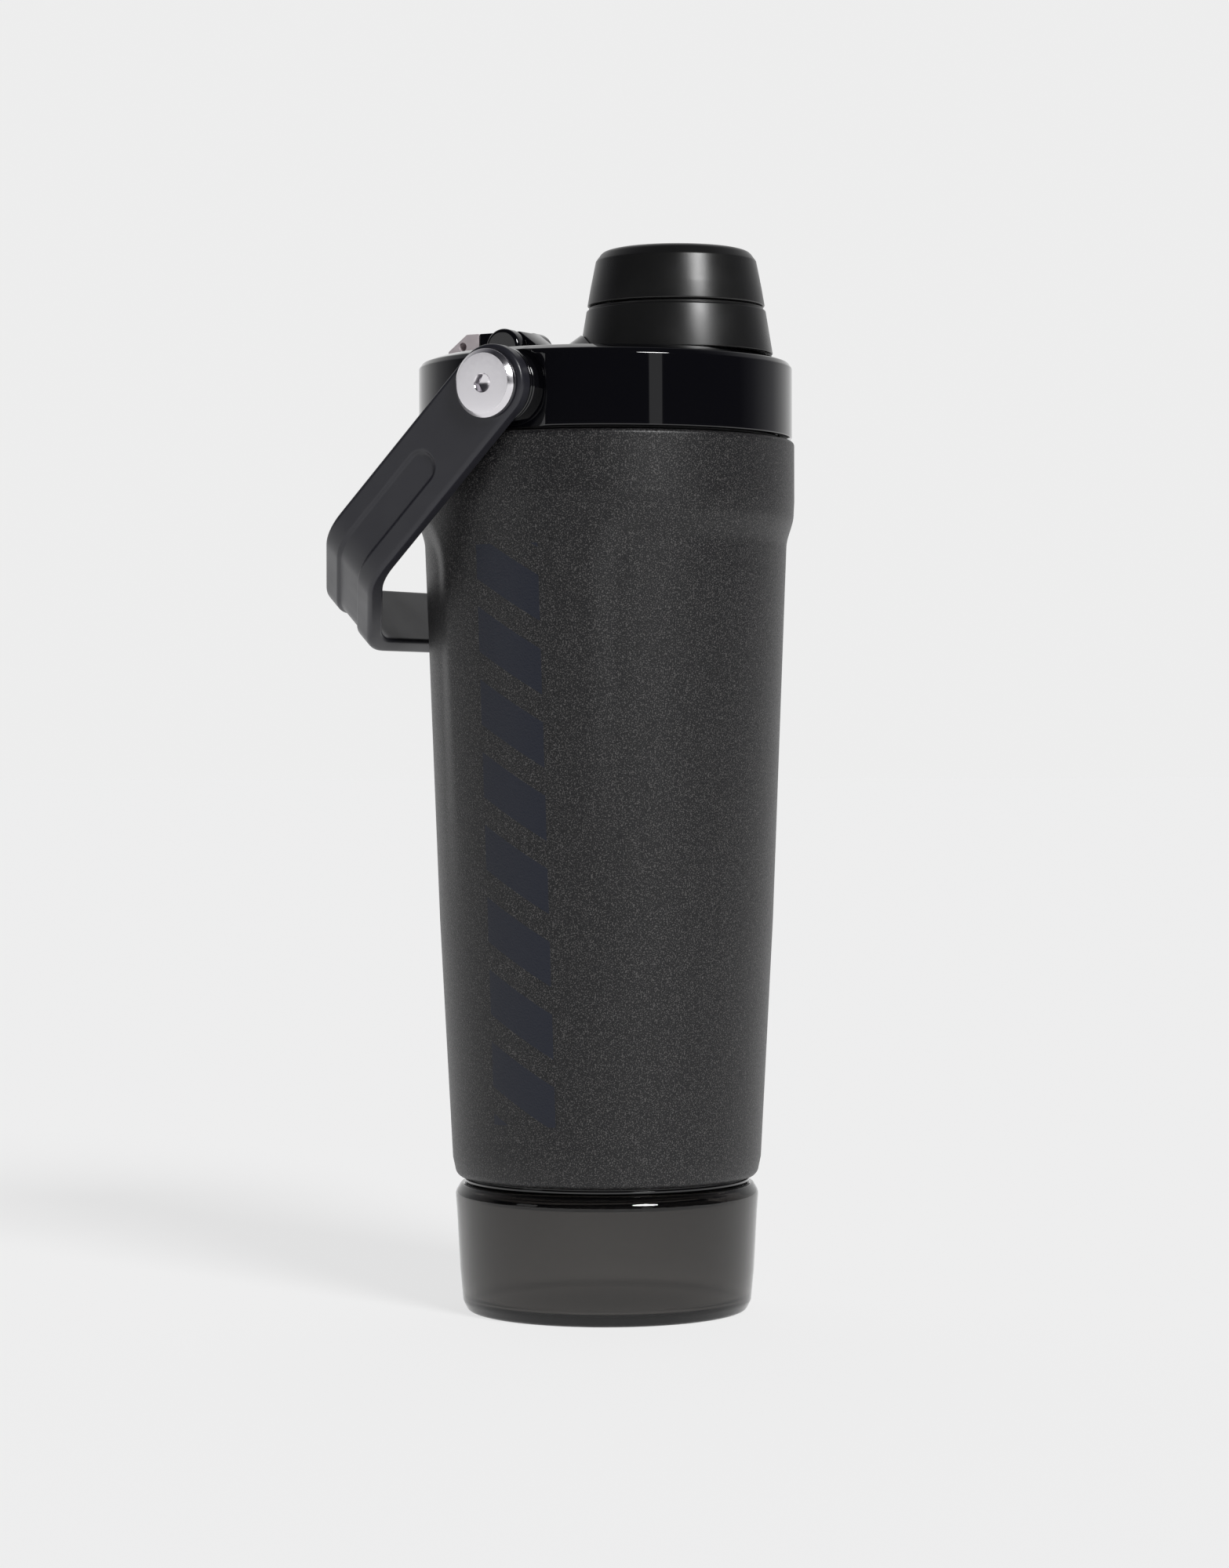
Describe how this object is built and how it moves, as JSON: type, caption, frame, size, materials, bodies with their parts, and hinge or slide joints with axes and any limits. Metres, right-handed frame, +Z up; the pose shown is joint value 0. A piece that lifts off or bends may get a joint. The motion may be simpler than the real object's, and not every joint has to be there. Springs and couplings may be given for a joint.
{
  "type": "shaker bottle",
  "caption": "Insulated shaker bottle with a screw-off storage cup under it, a screw-on lid with a capped spout and lift-up vent lever, and a swinging carry handle.",
  "frame": {"origin": "centre of the flat underside of the storage cup", "axes": "+Z up the bottle, +X towards the drinking spout, Y along the carry handle's pivot axis"},
  "size_m": [0.1071, 0.1088, 0.2543],
  "materials": {
    "smoked_cup": "smoked translucent, polished",
    "silicone": "soft matt",
    "black_plastic": "moulded satin",
    "powder_coat": "fine sparkling powder coat on steel",
    "liner_steel": "drawn, lightly polished",
    "smoked_lid": "very dark smoked, polished",
    "cap_plastic": "satin, finely grained",
    "smoked_window": "smoked translucent, polished",
    "screw_steel": "machined, bright chamfers",
    "gloss_ring": "polished black",
    "brass": "turned, knurled",
    "handle_plastic": "satin"
  },
  "bodies": {
    "storage_cup": {"storage_cup": "smoked_cup"},
    "storage_seal": {"storage_seal": "silicone"},
    "vessel": {"storage_ring": "black_plastic", "outer_shell": "powder_coat", "inner_liner": "liner_steel", "base_plate": "liner_steel", "vacuum_plug": "liner_steel"},
    "lid_gasket": {"lid_gasket": "silicone"},
    "lid": {"lid_collar": "smoked_lid", "lid_core": "black_plastic", "mixing_grid": "black_plastic", "spout_shroud": "cap_plastic", "lever_pin": "screw_steel", "pivot_screw_left": "screw_steel", "pivot_bush_left": "black_plastic", "pivot_washer_left": "gloss_ring", "thread_insert_left": "brass", "pivot_screw_right": "screw_steel", "pivot_bush_right": "black_plastic", "pivot_washer_right": "gloss_ring", "thread_insert_right": "brass"},
    "cap_seal": {"cap_seal": "silicone"},
    "spout_cap": {"cap_shell": "cap_plastic", "cap_liner": "black_plastic"},
    "vent_lever": {"vent_lever": "smoked_lid", "lever_tip": "smoked_window", "vent_plug": "silicone"},
    "carry_handle": {"carry_handle": "handle_plastic"}
  },
  "joints": [
    {"name": "vessel_lift", "type": "slide", "parent": "storage_cup", "child": "storage_seal", "axis": [0, 0, 1], "range_m": [0, 0.0049]},
    {"name": "vessel_turn", "type": "hinge", "parent": "storage_seal", "child": "vessel", "pos_m": [0, 0, 0.03], "axis": [0, 0, 1], "range_deg": [0, 720]},
    {"name": "lid_lift", "type": "slide", "parent": "vessel", "child": "lid_gasket", "axis": [0, 0, 1], "range_m": [0, 0.0151]},
    {"name": "lid_turn", "type": "hinge", "parent": "lid_gasket", "child": "lid", "pos_m": [0, 0, 0.21], "axis": [0, 0, 1], "range_deg": [0, 900]},
    {"name": "cap_lift", "type": "slide", "parent": "lid", "child": "cap_seal", "axis": [0, 0, 1], "range_m": [0, 0.01135]},
    {"name": "cap_turn", "type": "hinge", "parent": "cap_seal", "child": "spout_cap", "pos_m": [0.0198, 0, 0.24], "axis": [0, 0, 1], "range_deg": [0, 900]},
    {"name": "handle_swing", "type": "hinge", "parent": "lid", "child": "carry_handle", "pos_m": [0, 0, 0.2195], "axis": [0, 1, 0], "range_deg": [0, 268]},
    {"name": "vent_lever_lift", "type": "hinge", "parent": "lid", "child": "vent_lever", "pos_m": [-0.0245, 0, 0.2327], "axis": [0, 1, 0], "range_deg": [0, 24]}
  ],
  "couplings": [
    {"joint": "vessel_lift", "follows": "vessel_turn", "m_per_rad": 0.00038197},
    {"joint": "lid_lift", "follows": "lid_turn", "m_per_rad": 0.00095493},
    {"joint": "cap_lift", "follows": "cap_turn", "m_per_rad": 0.0007162}
  ]
}
